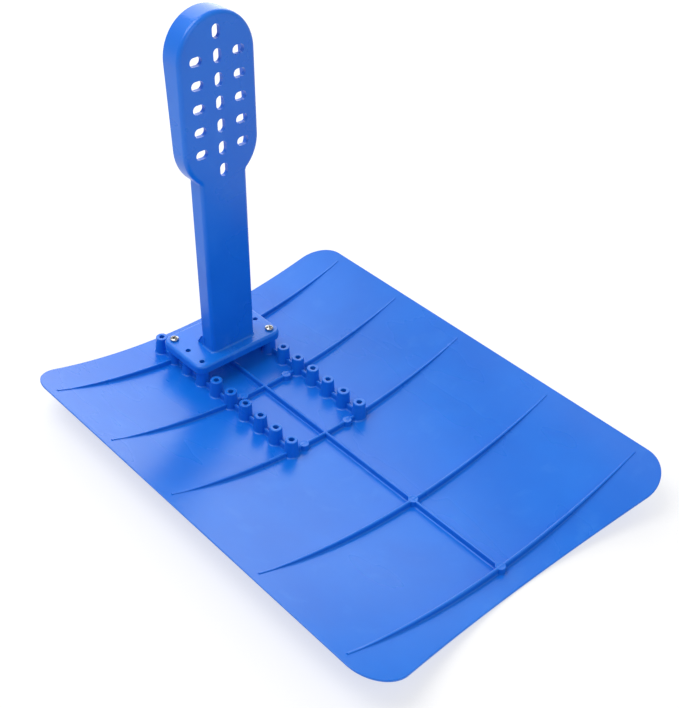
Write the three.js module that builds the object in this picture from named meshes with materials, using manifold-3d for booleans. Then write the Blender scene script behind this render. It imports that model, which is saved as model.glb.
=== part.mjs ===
// Mortar hawk: a trough-shaped plastic plate with two rows of screw bosses,
// a one-piece perforated handle that stands on the bosses, and two screws.
// Millimetres, +Z up, +X away from the handle along the plate's long edges.
// Origin: middle of the object's length and width, at the lowest point of the plate's underside.
import * as THREE from 'three';
import { mergeVertices } from 'three/addons/utils/BufferGeometryUtils.js';
import Module from 'manifold-3d';

const wasm = await Module();
wasm.setup();

// Plate
const longEdge = 410; // straight long edges, corner to corner
const plateWidth = 312;
const plateThickness = 2;
const troughDepth = 31; // rise of the long edges above the middle
const handleEndBow = 9; // how far the end beside the handle bulges
const openEndHollow = 20; // how far the other end curves in
const cornerRadius = 26;
const troughFacets = 41; // odd, so one flat facet lies at the bottom

// Ribs on the plate's upper face
const ribHeight = 5;
const ribThickness = 2.5;
const ribEndMargin = 9; // from the long edges to where the cross ribs run out
const fifthRibMargin = 33; // from the outermost point of the open end
const fourthRibGap = 88.5; // between the two ribs nearest the open end
const padRadius = 4; // round ejector pads on the ribs
const padOffset = 22.8;

// Screw bosses
const bossCount = 10;
const bossPitch = 19.1;
const rowSpacing = 71.5;
const firstBossInset = 19.5; // from the middle of the handle end
const secondRibBoss = 5; // the cross ribs near the handle run past bosses 1, 5 and 9
const bossTopZ = 18.9;
const bossTopRadius = 5;
const bossBaseRadius = 6.1;
const holeFloor = 1; // plastic left above the plate under each hole
const webHeight = 5.5;
const webThickness = 2.5;

// Handle
const overallHeight = 310;
const flangeThickness = 7.3;
const flangeRound = 2.5;
const flangeCornerRadius = 8;
const flangeMargin = 8; // beyond the outer bosses' centres, all round
const firstHandleBoss = 1; // the flange covers this boss and the next two of each row
const flangeBosses = 3;
const postWidth = 43.6;
const headWidth = 69.4;
const postDepth = 14.4;
const headTopDepth = 20.2; // the head's open back flares away from its front face
const frontWall = 3.8;
const sideWall = 2.5;
const edgeRound = 4.5;
const handleLean = THREE.MathUtils.degToRad(2.8);
const postFrontInset = 10.1; // from the flange's front edge to the post's front face
const slotToShoulder = 8.3; // from the lowest slot's middle down to the post's full width
const shoulderHollowRadius = 4;
const shoulderRoundRadius = 34;
const gussetReach = 7.2; // behind the post's side walls
const gussetHeight = 9.5;
const gussetToe = 1.6;
const gussetProud = 1.2; // outside the side walls

// Slots in the head
const slotLength = 10.8;
const slotWidth = 7.1;
const slotPitch = 18;
const columnSpacing = 19.2;
const topSlotInset = 14.5; // from the top of the head to the top slot's middle
const middleSlots = 7;
const sideSlots = 5;

// Screws
const shankRadius = 1.95;
const holeClearance = 0.3;
const screwEngagement = 11; // length of shank inside the boss
const screwHeadRadius = 3.7;
const screwHeadHeight = 2.4;
const recessLength = 4;
const recessWidth = 1;
const recessDepth = 1.2;

const seatGap = 0.3; // between pieces that rest on each other

// Derived sizes
const halfWidth = plateWidth / 2;
const bowRadius = arcRadius(halfWidth, handleEndBow);
const hollowRadius = arcRadius(halfWidth, openEndHollow);
const cornerY = halfWidth - cornerRadius;
const bowAngle = Math.asin(cornerY / (bowRadius - cornerRadius));
const hollowAngle = Math.asin(cornerY / (hollowRadius + cornerRadius));
const hollowInset = handleEndBow + longEdge - openEndHollow + hollowRadius;
const openCornerInset = hollowInset - (hollowRadius + cornerRadius) * Math.cos(hollowAngle);
const overallLength = openCornerInset + cornerRadius;
const handleEndX = -overallLength / 2;
const troughRadius = arcRadius(halfWidth, troughDepth);
const ribReach = halfWidth - ribEndMargin;
const ribRadius = arcRadius(ribReach, surfaceRise(ribReach) - ribHeight);
const rowY = rowSpacing / 2;
const holeRadius = shankRadius + holeClearance;
const flangeBottom = bossTopZ + seatGap;
const flangeTop = flangeBottom + flangeThickness;
const flangeFrontX = bossX(firstHandleBoss + flangeBosses - 1) + flangeMargin;
const flangeBackX = bossX(firstHandleBoss) - flangeMargin;
const postFrontX = flangeFrontX - postFrontInset;
const headRise = overallHeight - flangeTop + edgeRound * Math.sin(handleLean);
const headTop = headRise / Math.cos(handleLean); // along the leaning post, from the flange's top
const lowestSlot = headTop - topSlotInset - (middleSlots - 1) * slotPitch;
const shoulderStart = lowestSlot - slotToShoulder;

function arcRadius(halfChord, rise) {
  return (halfChord ** 2 + rise ** 2) / (2 * rise);
}

// Height of the plate's upper face above its middle, at a distance y from the middle
function surfaceRise(y) {
  return troughRadius - Math.sqrt(troughRadius ** 2 - y ** 2);
}

function surfaceZ(y) {
  return plateThickness + surfaceRise(y);
}

function ribTopZ(y) {
  return plateThickness + ribHeight + ribRadius - Math.sqrt(ribRadius ** 2 - y ** 2);
}

function bossX(index) {
  return handleEndX + firstBossInset + index * bossPitch;
}

// Adds an arc's points to an outline, leaving out a point that is there already
function addArc(points, centreX, centreY, radius, fromAngle, toAngle, steps) {
  for (let i = 0; i <= steps; i += 1) {
    const angle = fromAngle + (toAngle - fromAngle) * i / steps;
    const x = centreX + radius * Math.cos(angle);
    const y = centreY + radius * Math.sin(angle);
    const point = new THREE.Vector2(x, y);
    const last = points.at(-1);
    if (!last || last.distanceTo(point) > 1e-6) points.push(point);
  }
}

// Turns geometry drawn in a plane and extruded: across = the drawing's x, up = its y
function stand(geometry, across, up) {
  const along = new THREE.Vector3().crossVectors(across, up);
  return geometry.applyMatrix4(new THREE.Matrix4().makeBasis(across, up, along));
}

const axisX = new THREE.Vector3(1, 0, 0);
const axisY = new THREE.Vector3(0, 1, 0);
const axisZ = new THREE.Vector3(0, 0, 1);

// A flat shape drawn in Y and Z, given a thickness along X from startX on
function prismAlongX(shape, startX, length) {
  const geometry = new THREE.ExtrudeGeometry(shape, { depth: length, bevelEnabled: false });
  return stand(geometry, axisY, axisZ).translate(startX, 0, 0);
}

function solidOf(geometry) {
  geometry.deleteAttribute('normal');
  geometry.deleteAttribute('uv');
  const merged = mergeVertices(geometry, 1e-5);
  const vertProperties = new Float32Array(merged.getAttribute('position').array);
  const triVerts = new Uint32Array(merged.getIndex().array);
  return new wasm.Manifold(new wasm.Mesh({ numProp: 3, vertProperties, triVerts }));
}

function meshOf(solid, name, material) {
  const { vertProperties, triVerts } = solid.getMesh();
  const geometry = new THREE.BufferGeometry();
  geometry.setAttribute('position', new THREE.BufferAttribute(vertProperties, 3));
  geometry.setIndex(new THREE.BufferAttribute(triVerts, 1));
  geometry.computeVertexNormals();
  const mesh = new THREE.Mesh(geometry, material);
  mesh.name = name;
  return mesh;
}

function box(fromX, toX, fromY, toY, fromZ, toZ) {
  const geometry = new THREE.BoxGeometry(toX - fromX, toY - fromY, toZ - fromZ);
  geometry.translate((fromX + toX) / 2, (fromY + toY) / 2, (fromZ + toZ) / 2);
  return solidOf(geometry);
}

function uprightCylinder(x, y, fromZ, toZ, bottomRadius, topRadius, sides) {
  const geometry = new THREE.CylinderGeometry(topRadius, bottomRadius, toZ - fromZ, sides);
  geometry.rotateX(Math.PI / 2);
  geometry.translate(x, y, (fromZ + toZ) / 2);
  return solidOf(geometry);
}

// ---------- Plate ----------

function plateOutline() {
  const bowCentreX = handleEndX + bowRadius;
  const hollowCentreX = handleEndX + hollowInset;
  const handleCornerX = bowCentreX - (bowRadius - cornerRadius) * Math.cos(bowAngle);
  const openCornerX = handleEndX + openCornerInset;
  const quarter = Math.PI / 2;
  const points = [];
  addArc(points, openCornerX, -cornerY, cornerRadius, -quarter, hollowAngle, 8);
  addArc(points, hollowCentreX, 0, hollowRadius, Math.PI + hollowAngle, Math.PI - hollowAngle, 16);
  addArc(points, openCornerX, cornerY, cornerRadius, -hollowAngle, quarter, 8);
  addArc(points, handleCornerX, cornerY, cornerRadius, quarter, Math.PI - bowAngle, 8);
  addArc(points, bowCentreX, 0, bowRadius, Math.PI - bowAngle, Math.PI + bowAngle, 10);
  addArc(points, handleCornerX, -cornerY, cornerRadius, Math.PI + bowAngle, 3 * quarter, 8);
  return new THREE.Shape(points);
}

// The curved sheet: an arched band along X, trimmed to the outline seen from above
function plateSheet() {
  const span = Math.asin((halfWidth + 2 * plateThickness) / troughRadius);
  const down = -Math.PI / 2;
  const centreZ = plateThickness + troughRadius;
  const points = [];
  addArc(points, 0, centreZ, troughRadius + plateThickness, down - span, down + span, troughFacets);
  addArc(points, 0, centreZ, troughRadius, down + span, down - span, troughFacets);
  const startX = handleEndX - plateThickness;
  const band = solidOf(prismAlongX(new THREE.Shape(points), startX, -2 * startX));
  const depth = 2 * (troughDepth + plateThickness);
  const trim = new THREE.ExtrudeGeometry(plateOutline(), { depth, bevelEnabled: false });
  trim.translate(0, 0, -plateThickness);
  return band.intersect(solidOf(trim));
}

// A cross rib: highest in the middle, running out where its flatter arch meets the plate
function crossRib(x) {
  const rootRadius = troughRadius + plateThickness / 2;
  const rootSpan = Math.asin(ribReach / rootRadius);
  const topSpan = Math.asin(ribReach / ribRadius);
  const down = -Math.PI / 2;
  const points = [];
  addArc(points, 0, plateThickness + troughRadius, rootRadius, down - rootSpan, down + rootSpan, 24);
  const topCentreZ = plateThickness + ribHeight + ribRadius;
  addArc(points, 0, topCentreZ, ribRadius, down + topSpan, down - topSpan, 24);
  return solidOf(prismAlongX(new THREE.Shape(points), x - ribThickness / 2, ribThickness));
}

function ejectorPad(x, y) {
  const rootZ = surfaceZ(y) - plateThickness / 2;
  return uprightCylinder(x, y, rootZ, ribTopZ(y), padRadius, padRadius, 16);
}

function boss(x, y) {
  const rootZ = surfaceZ(y) - plateThickness / 2;
  return uprightCylinder(x, y, rootZ, bossTopZ, bossBaseRadius, bossTopRadius, 20);
}

function makePlate() {
  let plate = plateSheet();
  const rootZ = plateThickness / 2;
  const firstRibX = bossX(firstHandleBoss);
  const secondRibX = bossX(secondRibBoss);
  const thirdRibX = bossX(bossCount - 1);
  const fifthRibX = -handleEndX - fifthRibMargin;
  const fourthRibX = fifthRibX - fourthRibGap;
  const ribsX = [firstRibX, secondRibX, thirdRibX, fourthRibX, fifthRibX];
  for (const x of ribsX) plate = plate.add(crossRib(x));
  const halfRib = ribThickness / 2;
  const spineTop = plateThickness + ribHeight;
  plate = plate.add(box(firstRibX, fifthRibX, -halfRib, halfRib, rootZ, spineTop));
  for (const x of [fourthRibX, fifthRibX]) plate = plate.add(ejectorPad(x, 0));
  for (const side of [-1, 1]) {
    const y = side * rowY;
    for (const x of [secondRibX, thirdRibX]) plate = plate.add(ejectorPad(x, side * padOffset));
    const webRoot = surfaceZ(rowY) - plateThickness / 2;
    const webTop = surfaceZ(rowY) + webHeight;
    const halfWeb = webThickness / 2;
    plate = plate.add(box(bossX(0), thirdRibX, y - halfWeb, y + halfWeb, webRoot, webTop));
    for (let i = 0; i < bossCount; i += 1) plate = plate.add(boss(bossX(i), y));
    for (let i = 0; i < bossCount; i += 1) {
      const floorZ = surfaceZ(rowY) + holeFloor;
      const hole = uprightCylinder(bossX(i), y, floorZ, bossTopZ + 1, holeRadius, holeRadius, 12);
      plate = plate.subtract(hole);
    }
  }
  return plate;
}

// ---------- Handle ----------

// The handle seen from the front, Y across and height above the flange up,
// drawn smaller all round by inset
function handleOutline(bottom, inset) {
  const postHalf = postWidth / 2 - inset;
  const headHalf = headWidth / 2 - inset;
  const hollow = shoulderHollowRadius + inset;
  const round = shoulderRoundRadius - inset;
  const hollowCentreX = postHalf + hollow;
  const roundCentreX = headHalf - round;
  const run = hollowCentreX - roundCentreX;
  const turn = Math.acos(run / (hollow + round));
  const roundZ = shoulderStart + (hollow + round) * Math.sin(turn);
  const topCentreZ = headTop - headWidth / 2;
  const points = [new THREE.Vector2(-postHalf, bottom), new THREE.Vector2(postHalf, bottom)];
  addArc(points, hollowCentreX, shoulderStart, hollow, Math.PI, Math.PI - turn, 5);
  addArc(points, roundCentreX, roundZ, round, -turn, 0, 6);
  addArc(points, 0, topCentreZ, headHalf, 0, Math.PI, 28);
  addArc(points, -roundCentreX, roundZ, round, Math.PI, Math.PI + turn, 6);
  addArc(points, -hollowCentreX, shoulderStart, hollow, turn, 0, 5);
  return new THREE.Shape(points);
}

// A slab whose front edge is rounded; its back, at zero, stays sharp
function slabWithRoundFront(shape, thickness, round) {
  const depth = thickness;
  const bevel = { bevelThickness: round, bevelSize: round, bevelOffset: -round, bevelSegments: 3 };
  return new THREE.ExtrudeGeometry(shape, { depth, ...bevel }).translate(0, 0, -round);
}

function slot(y, z, upright) {
  const straight = (slotLength - slotWidth) / 2;
  const points = [];
  addArc(points, straight, 0, slotWidth / 2, -Math.PI / 2, Math.PI / 2, 6);
  addArc(points, -straight, 0, slotWidth / 2, Math.PI / 2, 1.5 * Math.PI, 6);
  const geometry = prismAlongX(new THREE.Shape(points), -2 * frontWall, 3 * frontWall);
  if (upright) geometry.rotateX(Math.PI / 2);
  return solidOf(geometry.translate(0, y, z));
}

// The space behind the handle's open back, which runs straight up the post and then flares
function spaceBehind(footDepth) {
  const farX = -3 * headTopDepth;
  const flare = (headTopDepth - postDepth) / (headTop - shoulderStart);
  const aboveTop = headTop + headWidth;
  const points = [
    new THREE.Vector2(farX, -2 * footDepth),
    new THREE.Vector2(-postDepth, -2 * footDepth),
    new THREE.Vector2(-postDepth, shoulderStart),
    new THREE.Vector2(-postDepth - flare * (aboveTop - shoulderStart), aboveTop),
    new THREE.Vector2(farX, aboveTop),
  ];
  const depth = 2 * headWidth;
  const geometry = new THREE.ExtrudeGeometry(new THREE.Shape(points), { depth, bevelEnabled: false });
  return solidOf(stand(geometry, axisX, axisZ).translate(0, headWidth, 0));
}

// Post and head in one open-backed shell, front face at x = 0, foot below z = 0
function makeShell() {
  const footDepth = flangeThickness / 2;
  const outer = slabWithRoundFront(handleOutline(-footDepth, 0), headTopDepth, edgeRound);
  const outerSolid = solidOf(stand(outer, axisY, axisZ).translate(-headTopDepth, 0, 0));
  const cavityDepth = 2 * headTopDepth;
  const cavity = prismAlongX(handleOutline(sideWall, sideWall), -cavityDepth, cavityDepth - frontWall);
  let shell = outerSolid.subtract(spaceBehind(footDepth)).subtract(solidOf(cavity));
  for (let row = 0; row < middleSlots; row += 1) {
    const z = headTop - topSlotInset - row * slotPitch;
    shell = shell.subtract(slot(0, z, true));
    if (row > 0 && row <= sideSlots) {
      shell = shell.subtract(slot(columnSpacing, z, false));
      shell = shell.subtract(slot(-columnSpacing, z, false));
    }
  }
  return shell;
}

function makeFlange() {
  const halfY = rowY + flangeMargin;
  const sideY = halfY - flangeCornerRadius;
  const frontX = flangeFrontX - flangeCornerRadius;
  const backX = flangeBackX + flangeCornerRadius;
  const quarter = Math.PI / 2;
  const points = [];
  addArc(points, frontX, -sideY, flangeCornerRadius, -quarter, 0, 6);
  addArc(points, frontX, sideY, flangeCornerRadius, 0, quarter, 6);
  addArc(points, backX, sideY, flangeCornerRadius, quarter, 2 * quarter, 6);
  addArc(points, backX, -sideY, flangeCornerRadius, 2 * quarter, 3 * quarter, 6);
  const slab = slabWithRoundFront(new THREE.Shape(points), flangeThickness, flangeRound);
  const below = box(handleEndX, -handleEndX, -halfWidth, halfWidth, -flangeThickness, 0);
  return solidOf(slab).subtract(below).translate(0, 0, flangeBottom);
}

// A small triangular rib behind one side wall, at its foot
function gusset(side) {
  const backX = postFrontX - postDepth;
  const toeX = backX - gussetReach;
  const rootZ = -flangeThickness / 2;
  const points = [new THREE.Vector2(backX + sideWall, rootZ), new THREE.Vector2(toeX, rootZ)];
  points.push(new THREE.Vector2(toeX, gussetToe));
  points.push(new THREE.Vector2(backX - gussetToe, gussetHeight));
  points.push(new THREE.Vector2(backX + sideWall, gussetHeight));
  const depth = sideWall + gussetProud;
  const rib = new THREE.ExtrudeGeometry(new THREE.Shape(points), { depth, bevelEnabled: false });
  const middleY = side * (postWidth / 2 + gussetProud / 2 - sideWall / 2);
  return solidOf(stand(rib, axisX, axisZ).translate(0, middleY + depth / 2, flangeTop));
}

function makeHandle() {
  const lean = THREE.MathUtils.radToDeg(-handleLean);
  const shell = makeShell().rotate([0, lean, 0]).translate(postFrontX, 0, flangeTop);
  let handle = makeFlange().add(shell).add(gusset(-1)).add(gusset(1));
  for (const side of [-1, 1]) {
    for (let i = 0; i < flangeBosses; i += 1) {
      const x = bossX(firstHandleBoss + i);
      const fromZ = flangeBottom - 1;
      const toZ = flangeTop + 1;
      handle = handle.subtract(uprightCylinder(x, side * rowY, fromZ, toZ, holeRadius, holeRadius, 16));
    }
  }
  return handle;
}

// ---------- Screws ----------

// A pan-head screw with a cross recess, its seat under the head at z = 0
function makeScrew() {
  const length = flangeThickness + seatGap + screwEngagement;
  const profile = [new THREE.Vector2(0, -length), new THREE.Vector2(shankRadius, -length)];
  profile.push(new THREE.Vector2(shankRadius, 0));
  profile.push(new THREE.Vector2(screwHeadRadius, 0));
  const domeRadius = screwHeadHeight * 0.7;
  addArc(profile, screwHeadRadius - domeRadius, screwHeadHeight - domeRadius, domeRadius, 0, Math.PI / 2, 4);
  profile.push(new THREE.Vector2(0, screwHeadHeight));
  const blank = new THREE.LatheGeometry(profile, 20).rotateX(Math.PI / 2);
  let screw = solidOf(blank);
  const halfLength = recessLength / 2;
  const halfSlit = recessWidth / 2;
  const floorZ = screwHeadHeight - recessDepth;
  const topZ = screwHeadHeight + 1;
  screw = screw.subtract(box(-halfLength, halfLength, -halfSlit, halfSlit, floorZ, topZ));
  screw = screw.subtract(box(-halfSlit, halfSlit, -halfLength, halfLength, floorZ, topZ));
  return screw;
}

// ---------- Assembly ----------

const platePlastic = new THREE.MeshStandardMaterial({ color: 0x2f6bdc, roughness: 0.42, metalness: 0 });
const handlePlastic = new THREE.MeshStandardMaterial({ color: 0x1f55c4, roughness: 0.4, metalness: 0 });
const screwSteel = new THREE.MeshStandardMaterial({ color: 0xb9bcc2, roughness: 0.3, metalness: 1 });

const hawk = new THREE.Group();
hawk.add(meshOf(makePlate(), 'plate', platePlastic));
hawk.add(meshOf(makeHandle(), 'handle', handlePlastic));

const lastHandleBoss = firstHandleBoss + flangeBosses - 1;
const screwPlaces = [
  { name: 'screw_near', x: bossX(firstHandleBoss), y: -rowY },
  { name: 'screw_far', x: bossX(lastHandleBoss), y: rowY },
];
for (const place of screwPlaces) {
  const screw = meshOf(makeScrew(), place.name, screwSteel);
  screw.position.set(place.x, place.y, flangeTop + seatGap);
  hawk.add(screw);
}

export default hawk;
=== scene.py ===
import math
import bpy
from mathutils import Matrix, Vector


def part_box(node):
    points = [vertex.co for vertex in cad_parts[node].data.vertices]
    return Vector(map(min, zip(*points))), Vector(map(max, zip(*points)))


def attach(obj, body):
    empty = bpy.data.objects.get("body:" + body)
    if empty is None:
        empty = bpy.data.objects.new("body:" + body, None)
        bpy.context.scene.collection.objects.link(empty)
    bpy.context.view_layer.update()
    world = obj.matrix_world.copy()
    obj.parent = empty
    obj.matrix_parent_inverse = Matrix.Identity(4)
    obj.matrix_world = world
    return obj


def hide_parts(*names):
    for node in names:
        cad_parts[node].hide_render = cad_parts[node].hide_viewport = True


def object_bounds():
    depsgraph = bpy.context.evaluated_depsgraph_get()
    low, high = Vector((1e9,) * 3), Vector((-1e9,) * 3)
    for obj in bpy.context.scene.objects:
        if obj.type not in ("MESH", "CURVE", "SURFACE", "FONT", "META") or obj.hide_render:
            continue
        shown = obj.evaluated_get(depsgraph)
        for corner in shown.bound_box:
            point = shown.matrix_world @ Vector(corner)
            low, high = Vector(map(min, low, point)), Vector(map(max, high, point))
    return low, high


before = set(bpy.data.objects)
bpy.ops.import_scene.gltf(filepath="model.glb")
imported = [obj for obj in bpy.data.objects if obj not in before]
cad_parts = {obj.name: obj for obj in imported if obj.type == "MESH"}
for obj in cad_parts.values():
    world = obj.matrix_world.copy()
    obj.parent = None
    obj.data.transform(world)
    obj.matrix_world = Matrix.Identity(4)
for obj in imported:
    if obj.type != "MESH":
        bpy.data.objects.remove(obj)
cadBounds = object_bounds()

mm = 0.001
quarter = math.pi / 2
tolerance = 0.02  # points nearer to a face than this, in millimetres, lie on it

# Turns a section drawn in X and Y so that it stands in Y and Z and runs along X
standUp = Matrix(((0, 0, 1, 0), (1, 0, 0, 0), (0, 1, 0, 0), (0, 0, 0, 1)))


# sRGB hex to the linear colour that a shader's socket takes
def toLinear(hexColour):
    channels = [int(hexColour[i:i + 2], 16) / 255 for i in (1, 3, 5)]
    linear = [c / 12.92 if c <= 0.04045 else ((c + 0.055) / 1.055) ** 2.4 for c in channels]
    return linear + [1.0]


def useOnly(piece):
    if bpy.context.mode != "OBJECT":
        bpy.ops.object.mode_set(mode="OBJECT")
    bpy.ops.object.select_all(action="DESELECT")
    piece.select_set(True)
    bpy.context.view_layer.objects.active = piece


def editOnly(piece, selectMode):
    useOnly(piece)
    bpy.ops.object.mode_set(mode="EDIT")
    bpy.ops.mesh.select_mode(type=selectMode)
    bpy.ops.mesh.select_all(action="DESELECT")


def editAll(piece, selectMode):
    editOnly(piece, selectMode)
    bpy.ops.mesh.select_all(action="SELECT")


def applyAll(piece):
    useOnly(piece)
    for modifier in list(piece.modifiers):
        bpy.ops.object.modifier_apply(modifier=modifier.name)


def faceOutwards(piece):
    editAll(piece, "FACE")
    bpy.ops.mesh.remove_doubles(threshold=0.002 * mm)
    bpy.ops.mesh.normals_make_consistent(inside=False)
    bpy.ops.object.mode_set(mode="OBJECT")


# Joins or cuts a closed piece with another, which is used up
def combine(piece, tool, operation):
    modifier = piece.modifiers.new("combine", "BOOLEAN")
    modifier.object = tool
    modifier.operation = operation
    modifier.solver = "MANIFOLD"
    applyAll(piece)
    bpy.data.objects.remove(tool)


def joined(pieces):
    useOnly(pieces[0])
    for other in pieces[1:]:
        other.select_set(True)
    bpy.ops.object.join()
    return pieces[0]


def newPiece(name, points, edges, faces):
    mesh = bpy.data.meshes.new(name)
    mesh.from_pydata([[value * mm for value in point] for point in points], edges, faces)
    piece = bpy.data.objects.new(name, mesh)
    bpy.context.scene.collection.objects.link(piece)
    return piece


def copyOf(piece, matrix):
    twin = piece.copy()
    twin.data = piece.data.copy()
    twin.data.transform(matrix)
    bpy.context.scene.collection.objects.link(twin)
    return twin


def rename(piece, name):
    piece.name = name
    piece.data.name = name
    print(name, len(piece.data.polygons), "faces")


def arc(centreX, centreY, radius, startAngle, endAngle, steps):
    points = []
    for i in range(steps + 1):
        angle = startAngle + (endAngle - startAngle) * i / steps
        points.append((centreX + radius * math.cos(angle), centreY + radius * math.sin(angle)))
    return points


def roundedRectangle(lowX, highX, lowY, highY, radius, steps):
    points = arc(highX - radius, lowY + radius, radius, -quarter, 0, steps)
    points += arc(highX - radius, highY - radius, radius, 0, quarter, steps)
    points += arc(lowX + radius, highY - radius, radius, quarter, 2 * quarter, steps)
    return points + arc(lowX + radius, lowY + radius, radius, 2 * quarter, 3 * quarter, steps)


# One flat face through the outline's points, in millimetres, without the doubled ones
def flatFace(name, outline, z):
    tooNear = 0.001
    points = []
    for point in outline:
        if not points or math.dist(point, points[-1]) > tooNear:
            points.append(point)
    if math.dist(points[0], points[-1]) < tooNear:
        points.pop()
    return newPiece(name, [(x, y, z) for x, y in points], [], [range(len(points))])


def extrudeBy(x, y, z):
    bpy.ops.mesh.extrude_region_move(TRANSFORM_OT_translate={"value": (x * mm, y * mm, z * mm)})


# Rounds the edge of the selected face as it is drawn in: a hollow round is a fillet's
def roundOff(radius, steps, hollow=False):
    for i in range(steps):
        a, b = quarter * i / steps, quarter * (i + 1) / steps
        inward = math.cos(a) - math.cos(b)
        upward = math.sin(b) - math.sin(a)
        if hollow:
            inward, upward = upward, inward
        bpy.ops.mesh.inset(thickness=inward * radius * mm, depth=upward * radius * mm)


def roundedSlab(name, outline, lowZ, highZ, lowRound=0, highRound=0, steps=4):
    level = lowZ + lowRound
    piece = flatFace(name, outline, level)
    editAll(piece, "FACE")
    extrudeBy(0, 0, highZ - highRound - lowZ - lowRound)
    if highRound:
        roundOff(highRound, steps)
    bpy.ops.mesh.select_all(action="SELECT")
    bpy.ops.mesh.normals_make_consistent(inside=False)
    bpy.ops.mesh.select_all(action="DESELECT")
    bpy.ops.object.mode_set(mode="OBJECT")
    if lowRound:
        for face in piece.data.polygons:
            onLevel = abs(face.center.z - level * mm) < tolerance * mm
            face.select = onLevel and face.normal.z < -0.9
        bpy.ops.object.mode_set(mode="EDIT")
        roundOff(lowRound, steps)
        bpy.ops.object.mode_set(mode="OBJECT")
    return piece


# A solid of revolution about Z from a profile of radius and height, closed on its axis
def turned(name, profile, steps):
    edges = [(i, i + 1) for i in range(len(profile) - 1)]
    piece = newPiece(name, [(r, 0, z) for r, z in profile], edges, [])
    editAll(piece, "VERT")
    bpy.ops.mesh.spin(steps=steps, angle=2 * math.pi, center=(0, 0, 0), axis=(0, 0, 1))
    faceOutwards(piece)
    return piece


def drillBit(radius, length, middle, sides):
    bpy.ops.mesh.primitive_cylinder_add(vertices=sides, radius=radius * mm, depth=length * mm,
                                        location=Vector(middle) * mm)
    bit = bpy.context.active_object
    bpy.ops.object.transform_apply()
    return bit


# Softens the wanted edges among those that turn by more than fifty degrees
def softenEdges(piece, wanted, offset, segments):
    editOnly(piece, "EDGE")
    bpy.ops.mesh.edges_select_sharp(sharpness=math.radians(50))
    bpy.ops.object.mode_set(mode="OBJECT")
    vertices = piece.data.vertices
    for edge in piece.data.edges:
        if edge.select:
            a, b = (vertices[i].co / mm for i in edge.vertices)
            edge.select = wanted(a) and wanted(b)
    bpy.ops.object.mode_set(mode="EDIT")
    bpy.ops.mesh.bevel(offset=offset * mm, segments=segments, profile=0.5, clamp_overlap=True)
    bpy.ops.object.mode_set(mode="OBJECT")


# The higher the weight, the more a large face rules the shading of the small ones round it
def smoothShade(piece, angle, weight):
    useOnly(piece)
    bpy.ops.object.shade_smooth_by_angle(angle=math.radians(angle))
    weighted = piece.modifiers.new("weighted", "WEIGHTED_NORMAL")
    weighted.keep_sharp = True
    weighted.weight = weight
    applyAll(piece)


plateLow, plateHigh = (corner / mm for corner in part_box("plate"))
handleLow, handleHigh = (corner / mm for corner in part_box("handle"))
nearLow, nearHigh = (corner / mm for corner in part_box("screw_near"))
farLow, farHigh = (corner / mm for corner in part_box("screw_far"))
nearScrewMiddle = (nearLow + nearHigh) / 2
farScrewMiddle = (farLow + farHigh) / 2

# The plate: a thin sheet, its cross ribs, centre rib and webs, round pads and two rows of screw bosses

plate = {
    "thickness": 2.0,
    "longEdge": 410.0,
    "bow": 9.0,  # the handle end swells out by this much
    "hollow": 20.0,  # the open end is drawn in by this much
    "cornerRadius": 26.0,
    "cornerSteps": 20,
    "bowSteps": 50,
    "hollowSteps": 60,
    "edgeRound": 0.55,
    "cell": 6.0,  # the sheet is cut into cells this wide before it is curved
    "smoothAngle": 38,
    "smoothWeight": 50,
}

rib = {
    "height": 5.0,
    "thickness": 2.5,
    "topRound": 1.2,
    "fillet": 1.2,
    "sunk": 0.6,
    "underBosses": (1, 5, 9),  # counted along a row from 0
    "fifthMargin": 33.0,
    "fourthGap": 88.5,
    "endMargin": 9.0,  # from the rib's end to the plate's long edge
    "overrun": 1.5,
    "tipHeight": 0.7,
    "tipWidth": 0.6,  # share of the full thickness
    "webHeight": 5.5,
    "step": 3.0,
}

pad = {
    "radius": 4.0,
    "offset": 22.8,  # from the centre rib
    "rim": 1.1,
    "rimSlope": 0.2,
    "dish": 0.12,
    "topRound": 0.5,
    "neck": 0.8,  # share of the rib's height, from the top
    "flare": 0.8,
    "sunk": 0.6,
    "sides": 40,
}

boss = {
    "count": 10,
    "seatGap": 0.3,
    "topRadius": 5.0,
    "baseRadius": 6.1,
    "topRound": 0.7,
    "fillet": 1.4,
    "filletSteps": 6,
    "holeRadius": 2.25,
    "holeFloor": 1.0,
    "floorRound": 0.3,
    "mouthRound": 0.45,
    "mouthMiddle": (0.12, 0.15),  # out from the hole and down from the top, half way round the mouth
    "sunk": 0.5,
    "bentShare": 0.5,  # this much of its height follows the sheet's slope
    "drillLength": 20.0,
    "sides": 48,
}
boss["pitch"] = (farScrewMiddle.x - nearScrewMiddle.x) / 2
boss["rowY"] = farScrewMiddle.y
boss["firstX"] = nearScrewMiddle.x - boss["pitch"]
bossX = [boss["firstX"] + i * boss["pitch"] for i in range(boss["count"])]


def arcRadius(halfChord, rise):
    return (halfChord ** 2 + rise ** 2) / (2 * rise)


plateHalf = plateHigh.y
troughRadius = arcRadius(plateHalf, plateHigh.z - plate["thickness"])
ribReach = plateHalf - rib["endMargin"]


def surfaceZ(y):
    return plate["thickness"] + troughRadius - math.sqrt(troughRadius ** 2 - y ** 2)


ribRise = surfaceZ(ribReach) - plate["thickness"] - rib["height"]
ribRadius = arcRadius(ribReach, ribRise)


def ribTopZ(y):
    return plate["thickness"] + rib["height"] + ribRadius - math.sqrt(ribRadius ** 2 - y ** 2)


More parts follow.
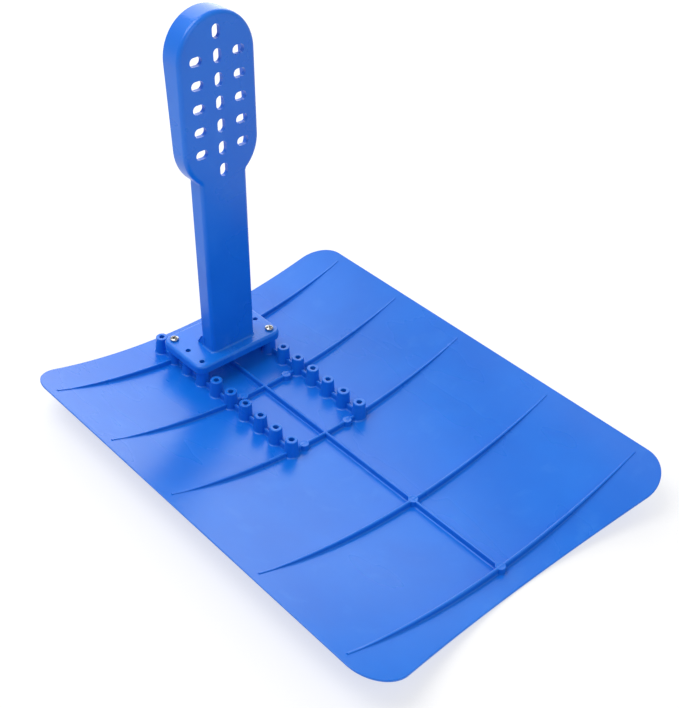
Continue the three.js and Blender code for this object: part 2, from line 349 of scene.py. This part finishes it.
def plateOutline():
    radius, steps, startX = plate["cornerRadius"], plate["cornerSteps"], plateLow.x
    cornerY = plateHalf - radius
    bowRadius = arcRadius(plateHalf, plate["bow"])
    hollowRadius = arcRadius(plateHalf, plate["hollow"])
    bowAngle = math.asin(cornerY / (bowRadius - radius))
    hollowAngle = math.asin(cornerY / (hollowRadius + radius))
    bowX = startX + bowRadius
    hollowX = startX + plate["bow"] + plate["longEdge"] - plate["hollow"] + hollowRadius
    nearCornerX = bowX - (bowRadius - radius) * math.cos(bowAngle)
    openCornerX = hollowX - (hollowRadius + radius) * math.cos(hollowAngle)
    points = arc(openCornerX, -cornerY, radius, -quarter, hollowAngle, steps)
    points += arc(hollowX, 0, hollowRadius, math.pi + hollowAngle, math.pi - hollowAngle,
                  plate["hollowSteps"])
    points += arc(openCornerX, cornerY, radius, -hollowAngle, quarter, steps)
    points += arc(nearCornerX, cornerY, radius, quarter, math.pi - bowAngle, steps)
    points += arc(bowX, 0, bowRadius, math.pi - bowAngle, math.pi + bowAngle, plate["bowSteps"])
    points += arc(nearCornerX, -cornerY, radius, math.pi + bowAngle, 3 * quarter, steps)
    return points


def cutIntoCells(piece, across, reach):
    count = int(reach / plate["cell"])
    editOnly(piece, "FACE")
    for i in range(-count, count + 1):
        bpy.ops.mesh.select_all(action="SELECT")
        bpy.ops.mesh.bisect(plane_co=across * (i * plate["cell"] * mm), plane_no=across)
    bpy.ops.object.mode_set(mode="OBJECT")


def makeSheet():
    edge = plate["edgeRound"]
    sheet = roundedSlab("sheet", plateOutline(), 0, plate["thickness"], edge, edge, 3)
    cutIntoCells(sheet, Vector((0, 1, 0)), plateHalf)
    cutIntoCells(sheet, Vector((1, 0, 0)), (plateHigh.x - plateLow.x) / 2)
    for vertex in sheet.data.vertices:
        y = min(plateHalf, abs(vertex.co.y / mm))
        vertex.co.z += (surfaceZ(y) - plate["thickness"]) * mm
    return sheet


# A wall's section, drawn from one flared foot over the round top to the other
def wallSection(height):
    half, fillet, top = rib["thickness"] / 2, rib["fillet"], rib["topRound"]
    side = [(half + fillet, -rib["sunk"])]
    for i in range(5):
        angle = quarter * i / 4
        side.append((half + fillet * (1 - math.sin(angle)), fillet * (1 - math.cos(angle))))
    side += arc(half - top, height - top, top, 0, quarter, 4)
    return side + [(-x, z) for x, z in reversed(side)]


# Runs a wall along X in short steps, then moves each point to the place that shape gives it
def runWall(name, height, startX, length, shape):
    wall = flatFace(name, wallSection(height), 0)
    wall.data.transform(Matrix.Translation((startX * mm, 0, 0)) @ standUp)
    steps = max(1, round(length / rib["step"]))
    editAll(wall, "FACE")
    for _ in range(steps):
        extrudeBy(length / steps, 0, 0)
    bpy.ops.object.mode_set(mode="OBJECT")
    for vertex in wall.data.vertices:
        vertex.co = Vector(shape(vertex.co / mm)) * mm
    faceOutwards(wall)
    return wall


# A cross rib's top is flatter than the trough, so the rib runs out into the sheet towards its ends
def crossRib(x):
    def arch(point):
        y, height = point.x, point.z
        share = max(rib["tipHeight"], ribTopZ(y) - surfaceZ(y)) / rib["height"]
        if height > 0:
            height *= share
        width = rib["tipWidth"] + (1 - rib["tipWidth"]) * share
        return (x + point.y * width, y, surfaceZ(y) + height)
    reach = ribReach + rib["overrun"]
    return runWall("rib", rib["height"], -reach, 2 * reach, arch)


def lengthRib(y, startX, endX, height):
    def lift(point):
        return (point.x, y + point.y, surfaceZ(y) + point.z)
    return runWall("web", height, startX, endX - startX, lift)


def makePad(x, y):
    radius, high = pad["radius"], rib["height"]
    rimX = radius - pad["rim"]
    profile = [(0, -pad["dish"]), (rimX - pad["rimSlope"], -pad["dish"]), (rimX, 0)]
    profile += arc(radius - pad["topRound"], -pad["topRound"], pad["topRound"], quarter, 0, 4)
    profile += [(radius, -high * pad["neck"])]
    profile += [(radius + pad["flare"], -high - pad["sunk"]), (0, -high - pad["sunk"])]
    piece = turned("pad", profile, pad["sides"])
    piece.data.transform(Matrix.Translation(Vector((x, y, ribTopZ(y))) * mm))
    return piece


def makeBoss():
    floorZ = surfaceZ(boss["rowY"])
    height = handleLow.z - boss["seatGap"] - floorZ
    base, foot, hole = boss["baseRadius"], boss["fillet"], boss["holeRadius"]
    lean = (base - boss["topRadius"]) / height
    mouthOut, mouthDown = boss["mouthMiddle"]
    profile = [(0, boss["holeFloor"]), (hole - boss["floorRound"], boss["holeFloor"])]
    profile += [(hole, boss["holeFloor"] + boss["floorRound"]), (hole, height - boss["mouthRound"])]
    profile += [(hole + mouthOut, height - mouthDown), (hole + boss["mouthRound"], height)]
    profile += arc(boss["topRadius"] - boss["topRound"], height - boss["topRound"], boss["topRound"],
                   quarter, 0, 5)
    for step in range(boss["filletSteps"] + 1):
        angle = quarter * (1 - step / boss["filletSteps"])
        rise = foot * (1 - math.cos(angle))
        profile.append((base - lean * rise + foot * (1 - math.sin(angle)), rise))
    profile += [(base + foot, -boss["sunk"]), (0, -boss["sunk"])]
    piece = turned("boss", profile, boss["sides"])
    for vertex in piece.data.vertices:
        share = max(0.0, 1 - vertex.co.z / mm / (height * boss["bentShare"]))
        slope = surfaceZ(boss["rowY"] + vertex.co.y / mm) - floorZ
        vertex.co.z += (floorZ + share * slope) * mm
    return piece


def makeBosses():
    first = makeBoss()
    acrossCentre = Matrix.Diagonal((1, -1, 1, 1))
    bosses = []
    for x in bossX:
        place = Matrix.Translation(Vector((x, boss["rowY"], 0)) * mm)
        bosses.append(copyOf(first, place))
        twin = copyOf(first, acrossCentre @ place)
        twin.data.flip_normals()
        bosses.append(twin)
    bpy.data.objects.remove(first)
    return joined(bosses)


# The webs run through the bosses, so the holes are drilled again after them
def makeBossDrills():
    floorZ = surfaceZ(boss["rowY"]) + boss["holeFloor"] + boss["floorRound"]
    middleZ = floorZ + boss["drillLength"] / 2
    drills = []
    for x in bossX:
        for side in (-1, 1):
            middle = (x, side * boss["rowY"], middleZ)
            drills.append(drillBit(boss["holeRadius"], boss["drillLength"], middle, boss["sides"]))
    return joined(drills)


def makePlate():
    sheet = makeSheet()
    print("sheet curved")
    fifthX = -plateLow.x - rib["fifthMargin"]
    fourthX = fifthX - rib["fourthGap"]
    ribX = [bossX[i] for i in rib["underBosses"]]
    combine(sheet, joined([crossRib(x) for x in ribX + [fourthX, fifthX]]), "UNION")
    combine(sheet, lengthRib(0, ribX[0], fifthX, rib["height"]), "UNION")
    webs = [lengthRib(side * boss["rowY"], bossX[0], bossX[-1], rib["webHeight"]) for side in (-1, 1)]
    combine(sheet, joined(webs), "UNION")
    pads = [makePad(x, 0) for x in (fourthX, fifthX)]
    pads += [makePad(x, side * pad["offset"]) for x in ribX[1:] for side in (-1, 1)]
    combine(sheet, joined(pads), "UNION")
    print("ribs, webs and pads joined")
    combine(sheet, makeBosses(), "UNION")
    combine(sheet, makeBossDrills(), "DIFFERENCE")
    rename(sheet, "moulded_plate")
    return sheet


# The handle: its shell is drawn flat with its front at z = 0, then stood on the flange

handle = {
    "flangeThickness": 7.3,
    "flangeRound": 2.5,
    "flangeUnderRound": 0.5,
    "flangeCorner": 8.0,
    "postWidth": 43.6,
    "headWidth": 69.4,
    "postDepth": 14.4,
    "headDepth": 20.2,
    "frontWall": 3.8,
    "sideWall": 2.5,
    "edgeRound": 3.4,
    "innerRound": 2.2,
    "rimRound": 0.5,
    "lean": math.radians(2.8),
    "postFrontInset": 10.1,
    "shoulderHollow": 4.0,
    "hollowSteps": 8,
    "shoulderRound": 34.0,
    "shoulderSteps": 16,
    "crownSteps": 72,
    "slotToShoulder": 8.3,
    "footFillet": 1.6,
    "overBosses": (1, 2, 3),  # the flange lies on these, counted along a row from 0
    "screwHoleRound": 0.35,
    "drillLength": 40.0,
    "drillSides": 40,
    "smoothAngle": 38,
    "smoothWeight": 100,
}

slot = {
    "length": 10.8,
    "width": 7.1,
    "pitch": 18.0,
    "column": 19.2,
    "topInset": 14.5,
    "inMiddle": 7,
    "inSide": 5,
    "endSteps": 14,
    "round": 0.6,
}

gusset = {
    "reach": 7.2,
    "height": 9.5,
    "proud": 1.2,
    "edgeRound": 0.9,
    "toeHeight": 0.9,
    "toeRound": 1.2,
    "topInset": 1.2,
    "topRound": 1.6,
    "slope": 0.72 * math.pi,
    "sunk": 2.0,
}

flangeTop = handleLow.z + handle["flangeThickness"]
postFrontX = handleHigh.x - handle["postFrontInset"]
postBackX = postFrontX - handle["postDepth"]
headRise = handleHigh.z - flangeTop + handle["edgeRound"] * math.sin(handle["lean"])
headTop = headRise / math.cos(handle["lean"])
highestSlot = headTop - slot["topInset"]
lowestSlot = highestSlot - (slot["inMiddle"] - 1) * slot["pitch"]
shoulderStart = lowestSlot - handle["slotToShoulder"]
flare = (handle["headDepth"] - handle["postDepth"]) / (headTop - shoulderStart)


def handleOutline(bottom, inset):
    postHalf = handle["postWidth"] / 2 - inset
    headHalf = handle["headWidth"] / 2 - inset
    hollow = handle["shoulderHollow"] + inset
    shoulder = handle["shoulderRound"] - inset
    hollowX, shoulderX = postHalf + hollow, headHalf - shoulder
    turn = math.acos((hollowX - shoulderX) / (hollow + shoulder))
    shoulderY = shoulderStart + (hollow + shoulder) * math.sin(turn)
    topY = headTop - handle["headWidth"] / 2
    points = [(-postHalf, bottom), (postHalf, bottom)]
    points += arc(hollowX, shoulderStart, hollow, math.pi, math.pi - turn, handle["hollowSteps"])
    points += arc(shoulderX, shoulderY, shoulder, -turn, 0, handle["shoulderSteps"])
    points += arc(0, topY, headHalf, 0, math.pi, handle["crownSteps"])
    points += arc(-shoulderX, shoulderY, shoulder, math.pi, math.pi + turn, handle["shoulderSteps"])
    points += arc(-hollowX, shoulderStart, hollow, turn, 0, handle["hollowSteps"])
    return points


# The space behind the open back, straight up the post and flaring over the head. Its section is drawn with
# X up the handle and Y back from its front
def spaceBehind():
    depth = handle["postDepth"]
    past = 60  # well beyond the handle
    top, far = headTop + past, handle["headDepth"] + past
    section = [(-past, far), (-past, depth), (shoulderStart, depth)]
    section += [(top, depth + flare * (top - shoulderStart)), (top, far)]
    space = roundedSlab("behind", section, -past, past)
    upTheHandle = Matrix(((0, 0, 1, 0), (1, 0, 0, 0), (0, -1, 0, 0), (0, 0, 0, 1)))
    space.data.transform(upTheHandle)
    faceOutwards(space)
    return space


def slotCutters():
    half, straight = slot["width"] / 2, (slot["length"] - slot["width"]) / 2
    outline = arc(straight, 0, half, -quarter, quarter, slot["endSteps"])
    outline += arc(-straight, 0, half, quarter, 3 * quarter, slot["endSteps"])
    flat = roundedSlab("slot", outline, -3 * handle["frontWall"], handle["frontWall"])
    upright = Matrix.Rotation(quarter, 4, "Z")
    cutters = []
    for row in range(slot["inMiddle"]):
        y = highestSlot - row * slot["pitch"]
        cutters.append(copyOf(flat, Matrix.Translation((0, y * mm, 0)) @ upright))
        if 0 < row <= slot["inSide"]:
            for side in (-1, 1):
                cutters.append(copyOf(flat, Matrix.Translation((side * slot["column"] * mm, y * mm, 0))))
    bpy.data.objects.remove(flat)
    return joined(cutters)


def makeShell():
    deep, wall, foot = handle["headDepth"], handle["sideWall"], handle["flangeThickness"] / 2
    spare = 2
    slotArea = slot["column"] + slot["length"]
    rimStart = wall + 1

    def onSlotRim(point):
        inHeight = lowestSlot - slot["length"] < point.y < highestSlot + slot["length"]
        return point.z > -tolerance and abs(point.x) < slotArea and inHeight

    def onBackRim(point):
        backZ = -handle["postDepth"] - flare * max(0, point.y - shoulderStart)
        return point.y > rimStart and abs(point.z - backZ) < tolerance

    shell = roundedSlab("shell", handleOutline(-foot, 0), -deep - spare, 0, 0, handle["edgeRound"], 7)
    combine(shell, spaceBehind(), "DIFFERENCE")
    cavity = roundedSlab("cavity", handleOutline(wall, wall), -3 * deep, -handle["frontWall"],
                         0, handle["innerRound"])
    combine(shell, cavity, "DIFFERENCE")
    combine(shell, slotCutters(), "DIFFERENCE")
    softenEdges(shell, onSlotRim, slot["round"], 3)
    softenEdges(shell, onBackRim, handle["rimRound"], 2)
    place = Matrix.Translation(Vector((postFrontX, 0, flangeTop)) * mm)
    shell.data.transform(place @ Matrix.Rotation(-handle["lean"], 4, "Y") @ standUp)
    return shell


# The hollow-rounded skirt where the post grows out of the flange
def makeSkirt():
    fillet, half, wall = handle["footFillet"], handle["postWidth"] / 2, handle["sideWall"]
    sunk = 2.0  # into the flange
    gap = 0.3  # from the hollow to the front wall
    lip = 0.1  # behind the post's back
    corner = 1.0
    past = 30  # well beyond the post
    outline = roundedRectangle(postBackX - past, postFrontX + fillet, -half - fillet, half + fillet,
                               handle["edgeRound"] + fillet, 8)
    skirt = flatFace("skirt", outline, flangeTop - sunk)
    editAll(skirt, "FACE")
    extrudeBy(0, 0, sunk)
    roundOff(fillet, 6, hollow=True)
    bpy.ops.object.mode_set(mode="OBJECT")
    for vertex in skirt.data.vertices:
        vertex.co.x -= max(0, vertex.co.z - flangeTop * mm) * math.tan(handle["lean"])
    faceOutwards(skirt)
    inside = roundedRectangle(postBackX - 2 * past, postFrontX - handle["frontWall"] - gap,
                              wall - half, half - wall, corner, 4)
    combine(skirt, roundedSlab("hollow", inside, flangeTop + wall, flangeTop + past), "DIFFERENCE")
    behind = roundedRectangle(postBackX - 2 * past, postBackX - lip, -2 * past, 2 * past, corner, 2)
    combine(skirt, roundedSlab("behind", behind, flangeTop - past, flangeTop + past), "DIFFERENCE")
    return skirt


# A small curved web that backs one side wall of the post
def makeGusset(side):
    toeX, high, sunk = postBackX - gusset["reach"], gusset["height"], gusset["sunk"]
    toe, top, slope = gusset["toeRound"], gusset["topRound"], gusset["slope"]
    section = [(postBackX + sunk, -sunk), (toeX, -sunk)]
    section += arc(toeX + toe, gusset["toeHeight"], toe, math.pi, slope, 4)
    section += arc(postBackX - gusset["topInset"], high - top, top, slope, quarter, 4)
    section += [(postBackX + sunk, high)]
    width = handle["sideWall"] + gusset["proud"]
    edge = gusset["edgeRound"]
    piece = roundedSlab("gusset", section, -width / 2, width / 2, edge, edge, 3)
    middle = side * (handle["postWidth"] / 2 + gusset["proud"] / 2 - handle["sideWall"] / 2)
    onFlange = Matrix(((1, 0, 0, 0), (0, 0, -1, middle * mm), (0, 1, 0, flangeTop * mm), (0, 0, 0, 1)))
    piece.data.transform(onFlange)
    faceOutwards(piece)
    return piece


def makeFlange():
    outline = roundedRectangle(handleLow.x, handleHigh.x, handleLow.y, handleHigh.y,
                               handle["flangeCorner"], 10)
    return roundedSlab("flange", outline, handleLow.z, flangeTop,
                       handle["flangeUnderRound"], handle["flangeRound"], 5)


def makeHandle():
    def onHoleRim(point):
        inRow = abs(abs(point.y) - boss["rowY"]) < boss["holeRadius"] + tolerance
        return inRow and abs(point.z - flangeTop) < tolerance

    flange = makeFlange()
    combine(flange, makeSkirt(), "UNION")
    combine(flange, makeShell(), "UNION")
    for side in (-1, 1):
        combine(flange, makeGusset(side), "UNION")
    for index in handle["overBosses"]:
        for side in (-1, 1):
            middle = (bossX[index], side * boss["rowY"], flangeTop)
            drill = drillBit(boss["holeRadius"], handle["drillLength"], middle, handle["drillSides"])
            combine(flange, drill, "DIFFERENCE")
    softenEdges(flange, onHoleRim, handle["screwHoleRound"], 2)
    rename(flange, "moulded_handle")
    return flange


# The screws: pan heads with a cross recess, and a wound ridge for the thread

screw = {
    "headRadius": 3.7,
    "headHeight": 2.4,
    "headCurve": 1.5,
    "curveDrop": 1.62,  # from the head's top down to the middle of that curve
    "curveAngles": (0.02, 0.62),
    "dome": ((0.42, 0.07), (0.25, 0.02)),  # share of the radius, and how far below the top
    "underRound": (0.35, 0.08, 0.12),
    "neckFlare": 0.2,
    "coreRadius": 1.45,
    "crestRadius": 1.95,
    "neckLength": 2.9,
    "neckTaper": 0.5,
    "pointLength": 2.2,
    "pointTip": (0.25, 0.12),
    "threadPitch": 1.41,
    "threadStart": 0.4,  # below the top of the point
    "threadEnd": 3.8,  # below the head
    "threadSunk": 0.15,
    "threadFlanks": (0.28, 0.36, 0.64),  # shares of the pitch
    "threadSteps": 28,
    "recessLength": 5.6,
    "recessWidth": 1.5,
    "recessDepth": 2.1,
    "recessPast": 0.6,
    "recessTop": (1.12, 1.1),  # shares of its length and width
    "recessBottom": (0.5, 0.75),
    "nearTurn": 0.5,  # how each cross lies, in radians
    "farTurn": 1.2,
    "sides": 48,
    "smoothAngle": 40,
    "smoothWeight": 50,
}
screw["length"] = nearHigh.z - nearLow.z - screw["headHeight"]


# A small ridge carried round and up the core
def makeThread(low, high):
    root = screw["coreRadius"] - screw["threadSunk"]
    crest, pitch = screw["crestRadius"], screw["threadPitch"]
    rise, land, fall = (low + pitch * share for share in screw["threadFlanks"])
    turns = int((high - low) / pitch)
    corners = [(root, 0, low), (crest, 0, rise), (crest, 0, land), (root, 0, fall)]
    thread = newPiece("thread", corners, [], [(0, 1, 2, 3)])
    winding = thread.modifiers.new("winding", "SCREW")
    winding.axis = "Z"
    winding.angle = 2 * math.pi * turns
    winding.screw_offset = pitch * turns * mm
    winding.steps = screw["threadSteps"] * turns
    winding.render_steps = winding.steps
    applyAll(thread)
    editOnly(thread, "EDGE")
    bpy.ops.mesh.select_non_manifold()
    bpy.ops.mesh.edge_face_add()
    bpy.ops.object.mode_set(mode="OBJECT")
    return thread


# Two crossed blades that narrow downwards
def crossRecess(topZ):
    half, wide = screw["recessLength"] / 2, screw["recessWidth"] / 2
    blades = []
    for turn in (0, quarter):
        bpy.ops.mesh.primitive_cube_add(size=1, location=(0, 0, 0))
        blade = bpy.context.active_object
        for vertex in blade.data.vertices:
            low = vertex.co.z < 0
            lengthShare, widthShare = screw["recessBottom" if low else "recessTop"]
            z = topZ - screw["recessDepth"] if low else topZ + screw["recessPast"]
            vertex.co = Vector((math.copysign(half * lengthShare, vertex.co.x),
                                math.copysign(wide * widthShare, vertex.co.y), z)) * mm
        blade.data.transform(Matrix.Rotation(turn, 4, "Z"))
        blades.append(blade)
    combine(blades[0], blades[1], "UNION")
    return blades[0]


def makeScrew(name, centre, turn):
    radius, high, core = screw["headRadius"], screw["headHeight"], screw["coreRadius"]
    tip, shank, neck = -screw["length"], screw["crestRadius"], -screw["neckLength"]
    pointRadius, pointHeight = screw["pointTip"]
    flatEnd, rimIn, rimUp = screw["underRound"]
    profile = [(0, tip), (pointRadius, tip + pointHeight), (core, tip + screw["pointLength"])]
    profile += [(core, neck - screw["neckTaper"]), (shank, neck), (shank, -screw["neckFlare"])]
    profile += [(shank + screw["neckFlare"], 0), (radius - flatEnd, 0), (radius - rimIn, rimUp)]
    profile += arc(radius - screw["headCurve"], high - screw["curveDrop"], screw["headCurve"],
                   *screw["curveAngles"], 5)
    profile += [(radius * share, high - drop) for share, drop in screw["dome"]] + [(0, high)]
    blank = turned("screw", profile, screw["sides"])
    combine(blank, crossRecess(high), "DIFFERENCE")
    threadLow = tip + screw["pointLength"] - screw["threadStart"]
    joined([blank, makeThread(threadLow, -screw["threadEnd"])])
    seat = Vector((centre.x, centre.y, nearHigh.z - high)) * mm
    blank.data.transform(Matrix.Translation(seat) @ Matrix.Rotation(turn, 4, "Z"))
    rename(blank, name)
    return blank


# A number for a name is a socket's place, for a node whose sockets share a name
def addNode(tree, kind, settings=None, links=None):
    node = tree.nodes.new(kind)
    for name, value in (settings or {}).items():
        if isinstance(name, int) or name in node.inputs:
            node.inputs[name].default_value = value
        else:
            setattr(node, name, value)
    for name, source in (links or {}).items():
        tree.links.new(source, node.inputs[name])
    return node


mixLow, mixHigh, mixOut = 6, 7, 2  # the Mix node's two colours in, and its colour out


# How often a pattern of this size in millimetres repeats in a metre
def timesPerMetre(size):
    return 1 / (size * mm)


def newMaterial(name):
    material = bpy.data.materials.new(name)
    material.use_nodes = True
    return material


plastic = {
    "colour": "#0f71dc",
    "deepColour": "#0c69d4",
    "cloudSize": 70.0,
    "paleColour": "#559fee",
    "scuffSize": 22.0,
    "scuffs": 0.1,  # the most that a scuff pales the colour
    "ior": 1.45,
    "translucence": 0.08,
    "lightDepth": 2.0,  # how far light wanders in it, in millimetres
    "lightColour": (0.2, 0.5, 1.0),
    "roughness": (0.25, 0.32),
    "flowLength": 150.0,
    "flowWidth": 45.0,
    "flowBump": {"Strength": 0.06, "Distance": 0.25 * mm},
    "grain": 0.55,
    "grainBump": {"Strength": 0.12, "Distance": 0.1 * mm},
}


# Injection-moulded polypropylene: satin and a little waxy, with slow clouds in its blue, faint pale scuffs,
# flow marks that run along the plate, and a spark grain, which is about 0.1 mm on a real mould and is
# drawn coarser here so that it shows
def mouldedPolypropylene(name, values):
    material = newMaterial(name)
    tree = material.node_tree
    shader = tree.nodes["Principled BSDF"]
    shader.inputs["IOR"].default_value = values["ior"]
    shader.inputs["Subsurface Weight"].default_value = values["translucence"]
    shader.inputs["Subsurface Radius"].default_value = values["lightColour"]
    shader.inputs["Subsurface Scale"].default_value = values["lightDepth"] * mm
    place = addNode(tree, "ShaderNodeTexCoord").outputs["Object"]

    cloud = addNode(tree, "ShaderNodeTexNoise", {"Scale": timesPerMetre(values["cloudSize"]), "Detail": 4.0},
                    {"Vector": place}).outputs["Fac"]
    tint = addNode(tree, "ShaderNodeMapRange", {"From Min": 0.35, "From Max": 0.65},
                   {"Value": cloud}).outputs["Result"]
    body = addNode(tree, "ShaderNodeMix",
                   {"data_type": "RGBA", mixLow: toLinear(values["deepColour"]),
                    mixHigh: toLinear(values["colour"])},
                   {"Factor": tint}).outputs[mixOut]
    smear = addNode(tree, "ShaderNodeTexNoise",
                    {"Scale": timesPerMetre(values["scuffSize"]), "Detail": 6.0, "Distortion": 0.4},
                    {"Vector": place}).outputs["Fac"]
    rubbed = addNode(tree, "ShaderNodeMapRange",
                     {"From Min": 0.58, "From Max": 0.74, "To Max": values["scuffs"]},
                     {"Value": smear}).outputs["Result"]
    worn = addNode(tree, "ShaderNodeMix", {"data_type": "RGBA", mixHigh: toLinear(values["paleColour"])},
                   {"Factor": rubbed, mixLow: body}).outputs[mixOut]
    tree.links.new(worn, shader.inputs["Base Color"])

    lengthwise, crosswise = timesPerMetre(values["flowLength"]), timesPerMetre(values["flowWidth"])
    along = addNode(tree, "ShaderNodeMapping", {"Scale": (lengthwise, crosswise, crosswise)},
                    {"Vector": place}).outputs["Vector"]
    flow = addNode(tree, "ShaderNodeTexNoise", {"Scale": 1.0, "Detail": 3.0},
                   {"Vector": along}).outputs["Fac"]
    smoothest, roughest = values["roughness"]
    gloss = addNode(tree, "ShaderNodeMapRange",
                    {"From Min": 0.3, "From Max": 0.7, "To Min": smoothest, "To Max": roughest},
                    {"Value": flow}).outputs["Result"]
    tree.links.new(gloss, shader.inputs["Roughness"])

    grain = addNode(tree, "ShaderNodeTexNoise", {"Scale": timesPerMetre(values["grain"]), "Detail": 2.0},
                    {"Vector": place}).outputs["Fac"]
    skin = addNode(tree, "ShaderNodeBump", values["grainBump"], {"Height": grain}).outputs["Normal"]
    waves = addNode(tree, "ShaderNodeBump", values["flowBump"],
                    {"Height": flow, "Normal": skin}).outputs["Normal"]
    tree.links.new(waves, shader.inputs["Normal"])
    return material


zinc = {
    "colour": "#a9adb4",
    "warmColour": "#bcb9b2",
    "cloudSize": 1.2,
    "roughness": (0.12, 0.26),
    "bump": {"Strength": 0.15, "Distance": 0.05 * mm},
}


# Bright zinc-plated steel: a cold blue-grey mirror, warmer and cloudier where the plating is thick
def zincPlatedSteel(name, values):
    material = newMaterial(name)
    tree = material.node_tree
    shader = tree.nodes["Principled BSDF"]
    shader.inputs["Metallic"].default_value = 1.0
    place = addNode(tree, "ShaderNodeTexCoord").outputs["Object"]
    cloud = addNode(tree, "ShaderNodeTexNoise", {"Scale": timesPerMetre(values["cloudSize"]), "Detail": 4.0},
                    {"Vector": place}).outputs["Fac"]
    tint = addNode(tree, "ShaderNodeMapRange", {"From Min": 0.4, "From Max": 0.6},
                   {"Value": cloud}).outputs["Result"]
    body = addNode(tree, "ShaderNodeMix",
                   {"data_type": "RGBA", mixLow: toLinear(values["colour"]),
                    mixHigh: toLinear(values["warmColour"])},
                   {"Factor": tint}).outputs[mixOut]
    tree.links.new(body, shader.inputs["Base Color"])
    smoothest, roughest = values["roughness"]
    gloss = addNode(tree, "ShaderNodeMapRange",
                    {"From Min": 0.3, "From Max": 0.7, "To Min": smoothest, "To Max": roughest},
                    {"Value": cloud}).outputs["Result"]
    tree.links.new(gloss, shader.inputs["Roughness"])
    skin = addNode(tree, "ShaderNodeBump", values["bump"], {"Height": cloud}).outputs["Normal"]
    tree.links.new(skin, shader.inputs["Normal"])
    return material


def dress(piece, material, values, body, nodes):
    piece.data.materials.clear()
    piece.data.materials.append(material)
    smoothShade(piece, values["smoothAngle"], values["smoothWeight"])
    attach(piece, body)
    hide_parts(*nodes)


bluePlastic = mouldedPolypropylene("moulded blue polypropylene", plastic)
zincSteel = zincPlatedSteel("zinc-plated steel", zinc)

dress(makePlate(), bluePlastic, plate, "plate", ["plate"])
dress(makeHandle(), bluePlastic, handle, "handle", ["handle"])
dress(makeScrew("cross_screw_near", nearScrewMiddle, screw["nearTurn"]), zincSteel, screw,
      "screw_near", ["screw_near"])
dress(makeScrew("cross_screw_far", farScrewMiddle, screw["farTurn"]), zincSteel, screw,
      "screw_far", ["screw_far"])
print("pieces finished")

# The floor, the lights and the camera, in metres and watts

studio = {
    "floorSize": 30.0,
    "floorColour": "#a0a0a0",
    "floorRoughness": 0.9,
    "floorGlow": 0.62,
    "sky": 0.48,
    "white": (1, 1, 1, 1),
    "aim": (-0.03, 0.0, 0.06),
    "lights": {
        "back": {"power": 18.5, "size": 1.75, "place": (-1.35, 0.95, 0.8)},
        "top": {"power": 13.5, "size": 1.0, "place": (-0.45, -0.45, 1.4)},
        "front": {"power": 3.5, "size": 0.8, "place": (1.2, -0.2, 1.0)},
    },
}

view = {
    "place": (0.5153, -0.4917, 0.6384),
    "turn": (51.182, -2.333, 47.710),
    "lens": 61.13,
    "sensor": 36,
    "shift": (-0.0135, 0.0411),
    "nearest": 0.02,
}


# Matt white paper that glows a little, so that the floor stays pale out to its far edge
def whitePaper(name):
    material = newMaterial(name)
    shader = material.node_tree.nodes["Principled BSDF"]
    shader.inputs["Base Color"].default_value = toLinear(studio["floorColour"])
    shader.inputs["Roughness"].default_value = studio["floorRoughness"]
    shader.inputs["Emission Color"].default_value = studio["white"]
    shader.inputs["Emission Strength"].default_value = studio["floorGlow"]
    return material


def layFloor():
    bpy.ops.mesh.primitive_plane_add(size=studio["floorSize"], location=(0, 0, cadBounds[0][2]))
    floor = bpy.context.active_object
    floor.name = "studio_floor"
    bpy.ops.object.transform_apply()
    floor.data.materials.append(whitePaper("matt white paper"))


def softLight(name, values):
    lamp = bpy.data.lights.new(name, "AREA")
    lamp.energy = values["power"]
    lamp.shape = "SQUARE"
    lamp.size = values["size"]
    light = bpy.data.objects.new(name, lamp)
    light.location = values["place"]
    towards = Vector(studio["aim"]) - Vector(values["place"])
    light.rotation_euler = towards.to_track_quat("-Z", "Y").to_euler()
    bpy.context.scene.collection.objects.link(light)


def lightSky():
    world = bpy.data.worlds.new("white room")
    world.use_nodes = True
    background = world.node_tree.nodes["Background"]
    background.inputs["Color"].default_value = studio["white"]
    background.inputs["Strength"].default_value = studio["sky"]
    bpy.context.scene.world = world
    bpy.context.scene.view_settings.view_transform = "Standard"


def placeCamera():
    lens = bpy.data.cameras.new("camera")
    lens.lens = view["lens"]
    lens.sensor_width = view["sensor"]
    lens.shift_x, lens.shift_y = view["shift"]
    lens.clip_start = view["nearest"]
    camera = bpy.data.objects.new("camera", lens)
    camera.location = view["place"]
    camera.rotation_euler = [math.radians(angle) for angle in view["turn"]]
    bpy.context.scene.collection.objects.link(camera)
    bpy.context.scene.camera = camera


layFloor()
for name, values in studio["lights"].items():
    softLight(name, values)
lightSky()
placeCamera()
print("studio ready")
